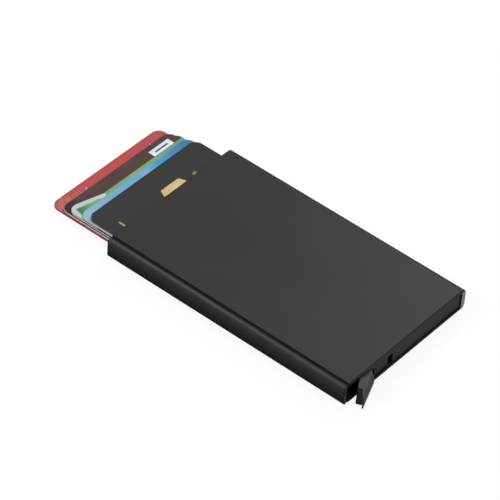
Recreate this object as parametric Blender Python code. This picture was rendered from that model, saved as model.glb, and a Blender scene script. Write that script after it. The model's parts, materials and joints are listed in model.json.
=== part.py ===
"""Pop-up card holder: a flat aluminium case, open at one end, that fans out five cards.

Metres, +Z up. The origin is the centre of the underside. The mouth faces -X, the lever
end faces +X, and the grooved side of the case faces -Y. The pieces stand as they do when
the cards are fanned out and the thumb lever is swung open.
"""
import math

import bmesh
import bpy

# Cards
CARD_LENGTH = 0.0856
CARD_WIDTH = 0.05398
CARD_THICKNESS = 0.00076
CARD_CORNER_RADIUS = 0.00318
CARD_SPACING = 0.00039
CARD_COUNT = 5

# How far each card stands out of the mouth, from the lowest card to the top one
RED_CARD_EXTENSION = 0.0289
BROWN_CARD_EXTENSION = 0.0244
GREEN_CARD_EXTENSION = 0.0213
BLUE_CARD_EXTENSION = 0.0162
BLACK_CARD_EXTENSION = 0.0127

# Clearances
FIT_GAP = 0.0003
STACK_CLEARANCE = 0.0005
MOUTH_INSET = 0.0005
CUT_OVERRUN = 0.001

# Shell
PLATE_THICKNESS = 0.001
NEAR_WALL = 0.00125
FAR_WALL = 0.00205
END_BAY = 0.0129
EDGE_RADIUS = 0.0024
GROOVE_WIDTH = 0.0009
GROOVE_DEPTH = 0.0005
GROOVE_FROM_SIDE = 0.00215

# Side liners and their felt strips
NEAR_LINER_THICKNESS = 0.00156
FAR_LINER_THICKNESS = 0.00076
LINER_SETBACK = 0.0005
FELT_THICKNESS = 0.0006
FELT_HEIGHT = 0.0044
FELT_LENGTH = 0.070

# End cap
CAP_SETBACK = 0.0004
CAP_WALL = 0.0012
CAP_RETURN_WIDTH = 0.0044
EYEBROW_THICKNESS = 0.0016
SLOT_WIDTH = 0.0021

# Hinge block
BLOCK_WIDTH = 0.0068
BLOCK_DEPTH = 0.005
BLOCK_SETBACK = 0.0002
KNUCKLE_THICKNESS = 0.001

# Pivot pin, and how far its axis lies inside the lever end
PIVOT_SETBACK = 0.002
PIN_RADIUS = 0.0006
PIN_END_CLEARANCE = 0.0001

# Screws that hold the end cap and the hinge block to the lower plate
SCREW_HEAD_RADIUS = 0.0013
SCREW_SHANK_RADIUS = 0.0006
SCREW_HEAD_HEIGHT = 0.0007
SCREW_HEAD_RECESS = 0.0001
SCREW_GRIP = 0.003
COUNTERSINK_CLEARANCE = 0.0005
DRIVE_SLOT_WIDTH = 0.0004
DRIVE_SLOT_DEPTH = 0.0003

# Thumb lever
LEVER_OPEN_ANGLE = math.radians(22)
LEVER_REACH = 0.01265
LEVER_ROOT = 0.0006
LEVER_INNER_ROOT = 0.0019
LEVER_INNER_TIP = 0.00005
LEVER_TIP_RADIUS = 0.0006
LEVER_TIP_LEAN = 0.0016
LEVER_RIDGE_OFFSET = 0.00166
LEVER_RIDGE_HEIGHT = 0.0007
LEVER_LIP_OFFSET = 0.00275
LEVER_LIP_HEIGHT = 0.0009
LEVER_LIP_LOW = 0.0004
LEVER_LIP_OVERHANG = 0.0007
LEVER_LIP_TAPER = 0.00015
LEVER_WEB_LENGTH = 0.0026
TONGUE_WIDTH = 0.003

# Ejector arm
FULL_SWING_ANGLE = math.radians(58)
ARM_CLEARANCE = 0.0004
ARM_DEPTH = 0.004
ARM_OVERHANG = 0.0029
TONGUE_INSERT = 0.0026
DOWEL_RADIUS = 0.0005
DOWEL_RECESS = 0.0003

# Thin pieces let into the faces of the cards
INLAY_THICKNESS = 0.00016
GOLD_BAR_LENGTH = 0.0112
GOLD_BAR_WIDTH = 0.0029
GOLD_BAR_FROM_END = 0.0103
GOLD_BAR_FROM_SIDE = 0.0234
WHITE_LABEL_LENGTH = 0.0096
WHITE_LABEL_WIDTH = 0.0024
WHITE_LABEL_FROM_END = 0.0018
WHITE_LABEL_FROM_SIDE = 0.009

# Steps round a quarter of a circle
CORNER_STEPS = 6
HOLE_SIDES = 24
TIP_STEPS = 6
SCOOP_STEPS = 5

# Heights
CARD_PITCH = CARD_THICKNESS + CARD_SPACING
STACK_HEIGHT = CARD_THICKNESS + (CARD_COUNT - 1) * CARD_PITCH
CAVITY_HEIGHT = STACK_HEIGHT + 2 * STACK_CLEARANCE
SHELL_HEIGHT = CAVITY_HEIGHT + 2 * PLATE_THICKNESS
CEILING = SHELL_HEIGHT - PLATE_THICKNESS
STACK_BOTTOM = PLATE_THICKNESS + STACK_CLEARANCE
INSIDE_LOW = PLATE_THICKNESS + FIT_GAP
INSIDE_HIGH = CEILING - FIT_GAP
EYEBROW_LOW = INSIDE_HIGH - EYEBROW_THICKNESS
KNUCKLE_HIGH = INSIDE_LOW + KNUCKLE_THICKNESS
HUB_LOW = KNUCKLE_HIGH + FIT_GAP
HUB_HIGH = EYEBROW_LOW - FIT_GAP

# Places across the case
FELT_INNER_Y = CARD_WIDTH / 2 + FIT_GAP
FELT_OUTER_Y = FELT_INNER_Y + FELT_THICKNESS
LINER_INNER_Y = FELT_OUTER_Y + FIT_GAP
NEAR_CAVITY_Y = -(LINER_INNER_Y + NEAR_LINER_THICKNESS + FIT_GAP)
FAR_CAVITY_Y = LINER_INNER_Y + FAR_LINER_THICKNESS + FIT_GAP
NEAR_SIDE_Y = NEAR_CAVITY_Y - NEAR_WALL
FAR_SIDE_Y = FAR_CAVITY_Y + FAR_WALL

# Places along the case
SHELL_LENGTH = MOUTH_INSET + CARD_LENGTH + END_BAY
MOUTH_X = -SHELL_LENGTH / 2
LEVER_END_X = SHELL_LENGTH / 2
CARD_STOP_X = MOUTH_X + MOUTH_INSET + CARD_LENGTH
CAP_FACE_X = LEVER_END_X - CAP_SETBACK

# Pivot of the lever
PIVOT_X = LEVER_END_X - PIVOT_SETBACK
PIVOT_Y = NEAR_CAVITY_Y + FIT_GAP + LEVER_REACH
HUB_RADIUS = PIVOT_SETBACK - CAP_SETBACK
SWEEP_RADIUS = HUB_RADIUS + FIT_GAP
PIN_HOLE_RADIUS = PIN_RADIUS + FIT_GAP

# End cap and hinge block, from the pivot towards the far side
BLOCK_NEAR_Y = PIVOT_Y + SWEEP_RADIUS
BLOCK_FAR_Y = BLOCK_NEAR_Y + BLOCK_WIDTH
BLOCK_FACE_X = CAP_FACE_X - BLOCK_SETBACK
CAP_NEAR_Y = BLOCK_FAR_Y + SLOT_WIDTH
CAP_FAR_Y = FAR_CAVITY_Y - FIT_GAP
CAP_RETURN_X = CARD_STOP_X + 2 * FIT_GAP
CAP_INNER_X = CAP_FACE_X - CAP_WALL

# Lever and arm, measured from the pivot with the lever shut
ARM_FRONT = CARD_STOP_X + ARM_CLEARANCE - PIVOT_X
ARM_BACK = ARM_FRONT + ARM_DEPTH
TONGUE_END = ARM_BACK - TONGUE_INSERT
DOWEL_PLACE = ARM_BACK - TONGUE_INSERT / 2
TIP_CENTRE = LEVER_REACH - LEVER_TIP_RADIUS
LIP_INNER = PIVOT_SETBACK + FIT_GAP
LIP_TIP = LEVER_REACH + LEVER_LIP_OVERHANG
SCOOP_LOW = INSIDE_LOW + LEVER_LIP_HEIGHT
SCOOP_HIGH = INSIDE_HIGH - LEVER_RIDGE_HEIGHT

CARDS = (
    ("red_card", RED_CARD_EXTENSION, (0.53, 0.09, 0.10), 0.35),
    ("brown_card", BROWN_CARD_EXTENSION, (0.09, 0.06, 0.06), 0.4),
    ("green_card", GREEN_CARD_EXTENSION, (0.14, 0.47, 0.11), 0.35),
    ("blue_card", BLUE_CARD_EXTENSION, (0.07, 0.30, 0.66), 0.3),
    ("black_card", BLACK_CARD_EXTENSION, (0.045, 0.045, 0.048), 0.45),
)


def clear_scene():
    for item in list(bpy.data.objects):
        bpy.data.objects.remove(item, do_unlink=True)


def material(name, colour, roughness, metallic):
    made = bpy.data.materials.new(name)
    made.use_nodes = True
    shader = made.node_tree.nodes["Principled BSDF"]
    shader.inputs["Base Color"].default_value = (*colour, 1)
    shader.inputs["Roughness"].default_value = roughness
    shader.inputs["Metallic"].default_value = metallic
    made.diffuse_color = (*colour, 1)
    return made


def add_object(name, shape, finish, parent=None, location=(0, 0, 0)):
    """Turns a bmesh into an object with one material, shaded smooth where it is round."""
    bmesh.ops.recalc_face_normals(shape, faces=shape.faces)
    mesh = bpy.data.meshes.new(name)
    shape.to_mesh(mesh)
    shape.free()
    mesh.shade_smooth()
    mesh.set_sharp_from_angle(angle=math.radians(35))
    made = bpy.data.objects.new(name, mesh)
    if finish is not None:
        mesh.materials.append(finish)
    bpy.context.collection.objects.link(made)
    made.parent = parent
    made.location = location
    return made


def add_empty(name, location, turn):
    made = bpy.data.objects.new(name, None)
    bpy.context.collection.objects.link(made)
    made.location = location
    made.rotation_euler = (0, 0, turn)
    return made


def arc(centre, radius, start, end, steps):
    """Points on a circle from one angle in degrees to another."""
    points = []
    for step in range(steps + 1):
        angle = math.radians(start + (end - start) * step / steps)
        points.append((centre[0] + radius * math.cos(angle), centre[1] + radius * math.sin(angle)))
    return points


def rounded_rectangle(left, right, low, high, radius):
    points = arc((right - radius, low + radius), radius, -90, 0, CORNER_STEPS)
    points += arc((right - radius, high - radius), radius, 0, 90, CORNER_STEPS)
    points += arc((left + radius, high - radius), radius, 90, 180, CORNER_STEPS)
    points += arc((left + radius, low + radius), radius, 180, 270, CORNER_STEPS)
    return points


def extruded(outline, start, end, along_x=False):
    """Extrudes an XY outline along Z or, with along_x, a YZ outline along X."""
    shape = bmesh.new()
    if along_x:
        corners = [shape.verts.new((start, first, second)) for first, second in outline]
        travel = (end - start, 0, 0)
    else:
        corners = [shape.verts.new((first, second, start)) for first, second in outline]
        travel = (0, 0, end - start)
    face = shape.faces.new(corners)
    grown = bmesh.ops.extrude_face_region(shape, geom=[face])
    moved = [item for item in grown["geom"] if isinstance(item, bmesh.types.BMVert)]
    bmesh.ops.translate(shape, verts=moved, vec=travel)
    return shape


def block(x_range, y_range, z_range):
    outline = (
        (x_range[0], y_range[0]),
        (x_range[1], y_range[0]),
        (x_range[1], y_range[1]),
        (x_range[0], y_range[1]),
    )
    return extruded(outline, z_range[0], z_range[1])


def round_bar(centre, low, high, low_radius, high_radius=None):
    """A cylinder or a cone that stands along Z."""
    shape = bmesh.new()
    bmesh.ops.create_cone(
        shape,
        cap_ends=True,
        segments=HOLE_SIDES,
        radius1=low_radius,
        radius2=low_radius if high_radius is None else high_radius,
        depth=high - low,
    )
    bmesh.ops.translate(shape, verts=shape.verts, vec=(centre[0], centre[1], (low + high) / 2))
    return shape


def lofted(rings):
    """Joins rings of equally many points, each ring a cross-section, and closes both ends."""
    shape = bmesh.new()
    rows = [[shape.verts.new(point) for point in ring] for ring in rings]
    for first, second in zip(rows, rows[1:]):
        for here, corner in enumerate(first):
            after = (here + 1) % len(first)
            shape.faces.new((corner, first[after], second[after], second[here]))
    shape.faces.new(rows[0][::-1])
    shape.faces.new(rows[-1])
    return shape


def combine(target, shape, operation):
    """Unites a shape with an object, or cuts it out, in the object's own coordinates."""
    tool = add_object(target.name + "_tool", shape, None, target.parent, target.location)
    tool.hide_render = True
    tool.display_type = "WIRE"
    change = target.modifiers.new(operation.lower(), "BOOLEAN")
    change.operation = operation
    change.solver = "EXACT"
    change.object = tool


def screw_places():
    block_place = (BLOCK_FACE_X - BLOCK_DEPTH / 2, (BLOCK_NEAR_Y + BLOCK_FAR_Y) / 2)
    return_place = ((CAP_RETURN_X + CAP_INNER_X) / 2, CAP_FAR_Y - CAP_RETURN_WIDTH / 2)
    return block_place, return_place


def shell_outline():
    """Cross-section of the case: round sides, with a groove in both plates near one side."""
    groove_left = NEAR_SIDE_Y + GROOVE_FROM_SIDE - GROOVE_WIDTH / 2
    groove_right = groove_left + GROOVE_WIDTH
    low_centre = EDGE_RADIUS
    high_centre = SHELL_HEIGHT - EDGE_RADIUS
    near_centre = NEAR_SIDE_Y + EDGE_RADIUS
    far_centre = FAR_SIDE_Y - EDGE_RADIUS
    points = arc((far_centre, low_centre), EDGE_RADIUS, -90, 0, CORNER_STEPS)
    points += arc((far_centre, high_centre), EDGE_RADIUS, 0, 90, CORNER_STEPS)
    points += [
        (groove_right, SHELL_HEIGHT),
        (groove_right, SHELL_HEIGHT - GROOVE_DEPTH),
        (groove_left, SHELL_HEIGHT - GROOVE_DEPTH),
    ]
    lip_angle = math.degrees(math.acos((groove_left - near_centre) / EDGE_RADIUS))
    points += arc((near_centre, high_centre), EDGE_RADIUS, lip_angle, 180, CORNER_STEPS)
    points += arc((near_centre, low_centre), EDGE_RADIUS, 180, 360 - lip_angle, CORNER_STEPS)
    points += [
        (groove_left, GROOVE_DEPTH),
        (groove_right, GROOVE_DEPTH),
        (groove_right, 0),
    ]
    return points


def make_shell(finish):
    shell = add_object("card_shell", extruded(shell_outline(), MOUTH_X, LEVER_END_X, along_x=True), finish)
    cavity = block(
        (MOUTH_X - CUT_OVERRUN, LEVER_END_X + CUT_OVERRUN),
        (NEAR_CAVITY_Y, FAR_CAVITY_Y),
        (PLATE_THICKNESS, CEILING),
    )
    combine(shell, cavity, "DIFFERENCE")
    for place in screw_places():
        countersink = round_bar(
            place,
            0,
            PLATE_THICKNESS,
            SCREW_HEAD_RADIUS + COUNTERSINK_CLEARANCE,
            SCREW_SHANK_RADIUS + FIT_GAP,
        )
        combine(shell, countersink, "DIFFERENCE")


def make_side(side, thickness, plastic, felt):
    """One liner along a side wall, with its felt strip facing the card edges."""
    sign = -1 if side == "near" else 1
    liner_y = sorted((sign * LINER_INNER_Y, sign * (LINER_INNER_Y + thickness)))
    liner_x = (MOUTH_X + LINER_SETBACK, CARD_STOP_X)
    liner = block(liner_x, liner_y, (INSIDE_LOW, INSIDE_HIGH))
    add_object(side + "_side_liner", liner, plastic)
    felt_y = sorted((sign * FELT_INNER_Y, sign * FELT_OUTER_Y))
    felt_x = (MOUTH_X + LINER_SETBACK, MOUTH_X + LINER_SETBACK + FELT_LENGTH)
    middle = SHELL_HEIGHT / 2
    strip = block(felt_x, felt_y, (middle - FELT_HEIGHT / 2, middle + FELT_HEIGHT / 2))
    add_object(side + "_felt_strip", strip, felt)


def knuckle_outline(far_y):
    """A strip with a half-round end about the pivot, as wide as the hub."""
    points = arc((PIVOT_X, PIVOT_Y), HUB_RADIUS, 180, 360, 2 * CORNER_STEPS)
    points += [(PIVOT_X + HUB_RADIUS, far_y), (PIVOT_X - HUB_RADIUS, far_y)]
    return points


def screw_hole(place):
    depth = PLATE_THICKNESS + SCREW_GRIP + 2 * FIT_GAP
    return round_bar(place, INSIDE_LOW - CUT_OVERRUN, depth, SCREW_SHANK_RADIUS + FIT_GAP)


def make_end_cap(finish):
    face = block((CAP_INNER_X, CAP_FACE_X), (CAP_NEAR_Y, CAP_FAR_Y), (INSIDE_LOW, INSIDE_HIGH))
    cap = add_object("end_cap", face, finish)
    side_return = block(
        (CAP_RETURN_X, CAP_FACE_X - CAP_WALL / 2),
        (CAP_FAR_Y - CAP_RETURN_WIDTH, CAP_FAR_Y),
        (INSIDE_LOW, INSIDE_HIGH),
    )
    combine(cap, side_return, "UNION")
    eyebrow = extruded(knuckle_outline(CAP_NEAR_Y + CAP_WALL), EYEBROW_LOW, INSIDE_HIGH)
    combine(cap, eyebrow, "UNION")
    pin_hole = round_bar(
        (PIVOT_X, PIVOT_Y),
        EYEBROW_LOW - CUT_OVERRUN,
        INSIDE_HIGH + CUT_OVERRUN,
        PIN_HOLE_RADIUS,
    )
    combine(cap, pin_hole, "DIFFERENCE")
    combine(cap, screw_hole(screw_places()[1]), "DIFFERENCE")


def make_hinge_block(finish):
    body = block(
        (BLOCK_FACE_X - BLOCK_DEPTH, BLOCK_FACE_X),
        (BLOCK_NEAR_Y, BLOCK_FAR_Y),
        (INSIDE_LOW, HUB_HIGH),
    )
    hinge = add_object("hinge_block", body, finish)
    knuckle = extruded(knuckle_outline(BLOCK_NEAR_Y + BLOCK_SETBACK), INSIDE_LOW, KNUCKLE_HIGH)
    combine(hinge, knuckle, "UNION")
    pin_hole = round_bar(
        (PIVOT_X, PIVOT_Y),
        INSIDE_LOW - CUT_OVERRUN,
        KNUCKLE_HIGH + CUT_OVERRUN,
        PIN_HOLE_RADIUS,
    )
    combine(hinge, pin_hole, "DIFFERENCE")
    combine(hinge, screw_hole(screw_places()[0]), "DIFFERENCE")


def make_pivot_pin(finish):
    pin = round_bar(
        (PIVOT_X, PIVOT_Y),
        INSIDE_LOW + PIN_END_CLEARANCE,
        INSIDE_HIGH - PIN_END_CLEARANCE,
        PIN_RADIUS,
    )
    add_object("pivot_pin", pin, finish)


def make_screw(name, place, finish):
    """A countersunk screw with its slotted head in the underside."""
    head_top = SCREW_HEAD_RECESS + SCREW_HEAD_HEIGHT
    tip = PLATE_THICKNESS + SCREW_GRIP
    profile = (
        (SCREW_HEAD_RADIUS, SCREW_HEAD_RECESS),
        (SCREW_SHANK_RADIUS, head_top),
        (SCREW_SHANK_RADIUS, tip),
    )
    rings = []
    for radius, height in profile:
        circle = arc((0, 0), radius, 0, 360, HOLE_SIDES)[:-1]
        rings.append([(x, y, height) for x, y in circle])
    screw = add_object(name, lofted(rings), finish, None, (*place, 0))
    reach = SCREW_HEAD_RADIUS + CUT_OVERRUN
    slot = block(
        (-reach, reach),
        (-DRIVE_SLOT_WIDTH / 2, DRIVE_SLOT_WIDTH / 2),
        (SCREW_HEAD_RECESS - CUT_OVERRUN, SCREW_HEAD_RECESS + DRIVE_SLOT_DEPTH),
    )
    combine(screw, slot, "DIFFERENCE")


def scoop_offset(height):
    """How far the scooped outer face stands out of the pivot's plane at a height."""
    share = min(max((height - SCOOP_LOW) / (SCOOP_HIGH - SCOOP_LOW), 0), 1)
    fall_share = math.sin(share * math.pi / 2)
    return LEVER_LIP_OFFSET + (LEVER_RIDGE_OFFSET - LEVER_LIP_OFFSET) * fall_share


def blade_section(station):
    """Cross-section of the blade at a distance from the pivot: a scooped outer face.

    The sections lean towards the pivot, the more the nearer they are to the blade's slanted tip.
    """
    past_tip = max(station - TIP_CENTRE, 0)
    half_round = math.sqrt(max(LEVER_TIP_RADIUS ** 2 - past_tip ** 2, 0))
    along_share = (station - LEVER_ROOT) / (LEVER_REACH - LEVER_ROOT)
    inner = LEVER_INNER_ROOT + (LEVER_INNER_TIP - LEVER_INNER_ROOT) * along_share
    left = LEVER_TIP_RADIUS - half_round - inner
    points = [
        (left, INSIDE_LOW),
        (LIP_INNER, INSIDE_LOW),
        (LIP_INNER, LEVER_LIP_LOW),
        (LEVER_LIP_OFFSET, LEVER_LIP_LOW),
    ]
    for step in range(SCOOP_STEPS + 1):
        height = SCOOP_LOW + (SCOOP_HIGH - SCOOP_LOW) * step / SCOOP_STEPS
        points.append((scoop_offset(height), height))
    points += [(LEVER_RIDGE_OFFSET, INSIDE_HIGH), (left, INSIDE_HIGH)]
    lean = LEVER_TIP_LEAN * along_share / (INSIDE_HIGH - INSIDE_LOW)
    return [(across, lean * (height - INSIDE_LOW) - station, height) for across, height in points]


def lip_section(station, taper):
    """Cross-section of the part of the lip that runs on past the blade's tip."""
    outline = (
        (LIP_INNER + taper, LEVER_LIP_LOW + taper),
        (LEVER_LIP_OFFSET - taper, LEVER_LIP_LOW + taper),
        (LEVER_LIP_OFFSET - taper, SCOOP_LOW - taper),
        (LIP_INNER + taper, SCOOP_LOW - taper),
    )
    return [(across, -station, height) for across, height in outline]


def make_thumb_lever(finish, pivot):
    stations = [LEVER_ROOT, TIP_CENTRE]
    for step in range(1, TIP_STEPS + 1):
        stations.append(TIP_CENTRE + LEVER_TIP_RADIUS * math.sin(step / TIP_STEPS * math.pi / 2))
    lever = add_object("thumb_lever", lofted([blade_section(station) for station in stations]), finish, pivot)
    clearance = round_bar((0, 0), INSIDE_LOW - CUT_OVERRUN, INSIDE_HIGH + CUT_OVERRUN, SWEEP_RADIUS)
    combine(lever, clearance, "DIFFERENCE")
    lip = [
        lip_section(TIP_CENTRE, 0),
        lip_section(LIP_TIP - LEVER_LIP_TAPER, 0),
        lip_section(LIP_TIP, LEVER_LIP_TAPER),
    ]
    combine(lever, lofted(lip), "UNION")
    web = block((-HUB_RADIUS, LEVER_RIDGE_OFFSET), (-LEVER_WEB_LENGTH, 0), (HUB_LOW, HUB_HIGH))
    combine(lever, web, "UNION")
    combine(lever, round_bar((0, 0), HUB_LOW, HUB_HIGH, HUB_RADIUS), "UNION")
    tongue = block((TONGUE_END, 0), (-TONGUE_WIDTH / 2, TONGUE_WIDTH / 2), (HUB_LOW, HUB_HIGH))
    combine(lever, tongue, "UNION")
    pin_hole = round_bar((0, 0), HUB_LOW - CUT_OVERRUN, HUB_HIGH + CUT_OVERRUN, PIN_HOLE_RADIUS)
    combine(lever, pin_hole, "DIFFERENCE")
    dowel_hole = round_bar(
        (DOWEL_PLACE, 0),
        HUB_LOW - CUT_OVERRUN,
        HUB_HIGH + CUT_OVERRUN,
        DOWEL_RADIUS + FIT_GAP,
    )
    combine(lever, dowel_hole, "DIFFERENCE")


def arm_outline():
    """Side view of the arm: one stair for each card, longest at the bottom."""
    points = [(-ARM_OVERHANG, INSIDE_HIGH), (-ARM_OVERHANG, INSIDE_LOW)]
    low = INSIDE_LOW
    for number, (_, extension, _, _) in enumerate(CARDS):
        reach = (extension + MOUTH_INSET) / math.sin(FULL_SWING_ANGLE)
        top = STACK_BOTTOM + (number + 1) * CARD_PITCH - CARD_SPACING / 2
        high = top if number < CARD_COUNT - 1 else INSIDE_HIGH
        points += [(reach, low), (reach, high)]
        low = high
    return points


def make_ejector_arm(finish, pivot):
    arm = add_object("ejector_arm", extruded(arm_outline(), ARM_FRONT, ARM_BACK, along_x=True), finish, pivot)
    mortise = block(
        (TONGUE_END - FIT_GAP, ARM_BACK + CUT_OVERRUN),
        (-TONGUE_WIDTH / 2 - FIT_GAP, TONGUE_WIDTH / 2 + FIT_GAP),
        (HUB_LOW - FIT_GAP, HUB_HIGH + FIT_GAP),
    )
    combine(arm, mortise, "DIFFERENCE")
    dowel_hole = round_bar(
        (DOWEL_PLACE, 0),
        INSIDE_LOW - CUT_OVERRUN,
        INSIDE_HIGH + CUT_OVERRUN,
        DOWEL_RADIUS + FIT_GAP,
    )
    combine(arm, dowel_hole, "DIFFERENCE")


def make_arm_dowel(finish, pivot):
    dowel = round_bar((DOWEL_PLACE, 0), INSIDE_LOW + DOWEL_RECESS, INSIDE_HIGH - DOWEL_RECESS, DOWEL_RADIUS)
    add_object("arm_dowel", dowel, finish, pivot)


def make_card(number):
    name, extension, colour, roughness = CARDS[number]
    low = STACK_BOTTOM + number * CARD_PITCH
    outline = rounded_rectangle(
        -CARD_LENGTH / 2,
        CARD_LENGTH / 2,
        -CARD_WIDTH / 2,
        CARD_WIDTH / 2,
        CARD_CORNER_RADIUS,
    )
    place = (MOUTH_X - extension + CARD_LENGTH / 2, 0, low + CARD_THICKNESS / 2)
    shape = extruded(outline, -CARD_THICKNESS / 2, CARD_THICKNESS / 2)
    return add_object(name, shape, material(name + "_print", colour, roughness, 0), None, place)


def add_inlay(card, name, length, width, from_end, from_side, finish):
    """Lets a thin plate into the top of a card, flush with its face."""
    across = -CARD_LENGTH / 2 + from_end
    side_shift = CARD_WIDTH / 2 - from_side
    top = CARD_THICKNESS / 2
    pocket = block(
        (across - width / 2 - FIT_GAP, across + width / 2 + FIT_GAP),
        (side_shift - length / 2 - FIT_GAP, side_shift + length / 2 + FIT_GAP),
        (top - INLAY_THICKNESS - FIT_GAP, top + CUT_OVERRUN),
    )
    combine(card, pocket, "DIFFERENCE")
    plate = block(
        (-width / 2, width / 2),
        (-length / 2, length / 2),
        (-INLAY_THICKNESS / 2, INLAY_THICKNESS / 2),
    )
    add_object(name, plate, finish, card, (across, side_shift, top - INLAY_THICKNESS / 2))


def make_cards():
    cards = [make_card(number) for number in range(CARD_COUNT)]
    add_inlay(
        cards[2],
        "white_label",
        WHITE_LABEL_LENGTH,
        WHITE_LABEL_WIDTH,
        WHITE_LABEL_FROM_END,
        WHITE_LABEL_FROM_SIDE,
        material("white_paper", (0.80, 0.80, 0.82), 0.4, 0),
    )
    add_inlay(
        cards[4],
        "gold_bar",
        GOLD_BAR_LENGTH,
        GOLD_BAR_WIDTH,
        GOLD_BAR_FROM_END,
        GOLD_BAR_FROM_SIDE,
        material("gold_foil", (0.66, 0.50, 0.26), 0.35, 0.8),
    )


def main():
    clear_scene()
    aluminium = material("black_aluminium", (0.055, 0.054, 0.055), 0.5, 0.3)
    cap_plastic = material("black_cap_plastic", (0.04, 0.04, 0.04), 0.5, 0)
    liner_plastic = material("dark_liner_plastic", (0.03, 0.03, 0.03), 0.6, 0)
    felt = material("black_felt", (0.015, 0.015, 0.015), 0.95, 0)
    steel = material("bright_steel", (0.5, 0.5, 0.5), 0.3, 1)
    lever_plastic = material("black_lever_plastic", (0.05, 0.05, 0.05), 0.4, 0)
    arm_plastic = material("dark_arm_plastic", (0.06, 0.06, 0.065), 0.5, 0)
    make_shell(aluminium)
    make_side("near", NEAR_LINER_THICKNESS, liner_plastic, felt)
    make_side("far", FAR_LINER_THICKNESS, liner_plastic, felt)
    make_end_cap(cap_plastic)
    make_hinge_block(cap_plastic)
    make_pivot_pin(steel)
    block_place, return_place = screw_places()
    make_screw("block_screw", block_place, steel)
    make_screw("cap_screw", return_place, steel)
    pivot = add_empty("lever_pivot", (PIVOT_X, PIVOT_Y, 0), LEVER_OPEN_ANGLE)
    make_thumb_lever(lever_plastic, pivot)
    make_ejector_arm(arm_plastic, pivot)
    make_arm_dowel(steel, pivot)
    make_cards()


main()
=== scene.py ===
import json
import math

import bmesh
import bpy
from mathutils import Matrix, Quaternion, Vector


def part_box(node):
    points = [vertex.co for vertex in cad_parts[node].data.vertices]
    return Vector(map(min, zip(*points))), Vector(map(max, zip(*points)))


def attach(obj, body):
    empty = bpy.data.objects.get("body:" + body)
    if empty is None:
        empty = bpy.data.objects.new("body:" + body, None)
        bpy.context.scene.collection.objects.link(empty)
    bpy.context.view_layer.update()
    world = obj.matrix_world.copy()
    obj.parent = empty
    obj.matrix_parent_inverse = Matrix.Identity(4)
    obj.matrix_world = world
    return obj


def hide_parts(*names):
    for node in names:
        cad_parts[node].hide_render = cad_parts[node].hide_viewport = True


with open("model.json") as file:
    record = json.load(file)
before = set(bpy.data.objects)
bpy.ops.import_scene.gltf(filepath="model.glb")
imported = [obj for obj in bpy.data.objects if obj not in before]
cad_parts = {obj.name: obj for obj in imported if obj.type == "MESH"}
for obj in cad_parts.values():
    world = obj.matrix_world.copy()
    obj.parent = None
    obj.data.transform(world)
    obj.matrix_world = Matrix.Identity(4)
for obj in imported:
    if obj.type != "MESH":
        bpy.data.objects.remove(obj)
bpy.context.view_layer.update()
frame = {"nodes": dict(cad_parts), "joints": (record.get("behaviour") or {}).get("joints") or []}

MM = 0.001
joints = {joint["name"]: joint for joint in frame["joints"]}


# Camera: a long lens that looks down on the grooved side and the lever end. The place, the lens
# and the roll are those from which the photograph's outline falls on the model's.
CAMERA_AIM = Vector((-15.35, 0.3, 4.0)) * MM
CAMERA_DISTANCE = 1058.8 * MM
CAMERA_AZIMUTH = math.radians(36.9)
CAMERA_ELEVATION = math.radians(42.5)
CAMERA_ROLL = math.radians(4.7)
CAMERA_LENS = 234.3
CAMERA_SENSOR = 36
CAMERA_NEAREST = 10 * MM
CAMERA_FURTHEST = 10

towards_camera = Vector((
    math.sin(CAMERA_AZIMUTH) * math.cos(CAMERA_ELEVATION),
    -math.cos(CAMERA_AZIMUTH) * math.cos(CAMERA_ELEVATION),
    math.sin(CAMERA_ELEVATION),
))
bpy.ops.object.camera_add(location=CAMERA_AIM + towards_camera * CAMERA_DISTANCE)
camera = bpy.context.object
camera.rotation_mode = "QUATERNION"
level = (-towards_camera).to_track_quat("-Z", "Y")
camera.rotation_quaternion = level @ Quaternion((0, 0, 1), CAMERA_ROLL)
camera.data.lens = CAMERA_LENS
camera.data.sensor_width = CAMERA_SENSOR
camera.data.clip_start = CAMERA_NEAREST
camera.data.clip_end = CAMERA_FURTHEST
bpy.context.scene.camera = camera
bpy.context.scene.view_settings.view_transform = "Standard"


# Studio: a large soft box overhead, a key in front of the grooved side, a small lamp close behind
# the case, and a pale paper floor. The white round the case is seen at full level, but lights
# the case only faintly.
WHITE = (1, 1, 1, 1)
SKY_LEVEL = 0.2
FLOOR_SIZE = 4.0
FLOOR_DROP = 0.05 * MM
FLOOR_TONE = 0.1
FLOOR_GLOW = 0.9
SOFT_BOXES = (
    ("overhead", (0.1, 0.1, 0.98), 0.6, 3.9),
    ("key", (-0.40, -0.61, 0.53), 0.26, 3.7),
    ("back", (-0.055, 0.26, 0.24), 0.12, 0.38),
)


def feed(tree, socket, value):
    """Links another node's output to a socket, or sets the socket's own value."""
    if isinstance(value, bpy.types.NodeSocket):
        tree.links.new(value, socket)
    else:
        socket.default_value = value


def add(tree, kind, values=None, **options):
    """Adds a shader node with its options, and feeds its inputs."""
    made = tree.nodes.new("ShaderNode" + kind)
    for name, value in options.items():
        setattr(made, name, value)
    for name, value in (values or {}).items():
        feed(tree, made.inputs[name], value)
    return made


def add_math(tree, operation, first, second=0.0):
    return add(tree, "Math", {0: first, 1: second}, operation=operation).outputs[0]


def seen_directly(tree):
    """1 for what the camera sees itself, in a mirror or through glass, and 0 for bounced light."""
    path = add(tree, "LightPath")
    seen = add_math(tree, "MAXIMUM", path.outputs["Is Camera Ray"], path.outputs["Is Glossy Ray"])
    return add_math(tree, "MAXIMUM", seen, path.outputs["Is Transmission Ray"])


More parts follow.
